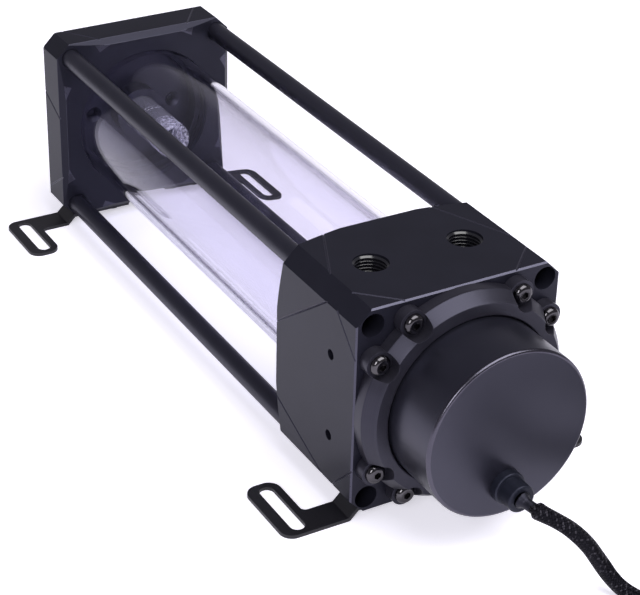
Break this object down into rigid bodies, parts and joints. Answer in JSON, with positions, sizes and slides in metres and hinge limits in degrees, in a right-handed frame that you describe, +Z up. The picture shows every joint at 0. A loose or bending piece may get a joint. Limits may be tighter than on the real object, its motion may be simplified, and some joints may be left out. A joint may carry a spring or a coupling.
{
  "type": "coolant pump reservoir",
  "caption": "Clear tube reservoir drawn by tie rods between a square pump block and a rear cap, with a clamped pump, threaded ports, slotted feet and a sleeved lead.",
  "frame": {"origin": "on the standing surface, midway between the four foot slots", "axes": "+X along the tube from the rear cap to the pump, +Z up, out of the port face"},
  "size_m": [0.41, 0.1744, 0.088],
  "materials": {
    "block": "machined black acetal, satin",
    "tube": "clear cast acrylic, polished",
    "riser": "clear acrylic, polished",
    "rods": "black anodised, satin",
    "ring": "black anodised, fine turned grain",
    "cover": "black anodised, satin",
    "screws": "black oxide, glossy",
    "feet": "satin black powder coat",
    "rubber": "matt black",
    "plug": "black anodised, satin",
    "sleeve": "black braided sleeve",
    "connector": "moulded black nylon",
    "contacts": "tinned brass",
    "pump_plastic": "moulded, matt",
    "cup": "thin stainless cup",
    "ceramic": "polished ceramic",
    "magnet": "bonded ferrite magnet",
    "impeller": "moulded, matt",
    "laminations": "stacked sheet",
    "windings": "enamelled copper wire",
    "board": "green solder mask"
  },
  "bodies": {
    "housing": {"pump_block": "block", "rear_cap": "block", "reservoir_tube": "tube", "tube_seal_front": "rubber", "tube_seal_rear": "rubber", "tie_rod_upper_left": "rods", "tie_rod_upper_right": "rods", "tie_rod_lower_left": "rods", "tie_rod_lower_right": "rods", "rod_screws_front": "screws", "rod_screws_rear": "screws", "riser_tube": "riser", "clamp_ring": "ring", "ring_screws": "screws", "pump_cover": "cover", "motor_housing": "pump_plastic", "pump_seal": "rubber", "separator_cup": "cup", "bearing_post": "ceramic", "stator_core": "laminations", "stator_coils": "windings", "circuit_board": "board", "cable_grommet": "rubber", "foot_front_left": "feet", "foot_front_right": "feet", "foot_rear_left": "feet", "foot_rear_right": "feet", "foot_screws": "screws", "cable_lead": "sleeve", "cable_coil": "sleeve", "cable_tail": "sleeve", "cable_tie": "connector", "connector_housing": "connector", "connector_pins": "contacts"},
    "rotor": {"magnet_rotor": "magnet", "impeller": "impeller"},
    "plug": {"fill_plug": "plug", "fill_plug_seal": "rubber"}
  },
  "joints": [
    {"name": "rotor_spin", "type": "hinge", "parent": "housing", "child": "rotor", "pos_m": [0.125, 0, 0.0465], "axis": [1, 0, 0], "continuous": true},
    {"name": "plug_out", "type": "slide", "parent": "housing", "child": "plug", "axis": [-1, 0, 0], "range_m": [0, 0.03]}
  ]
}
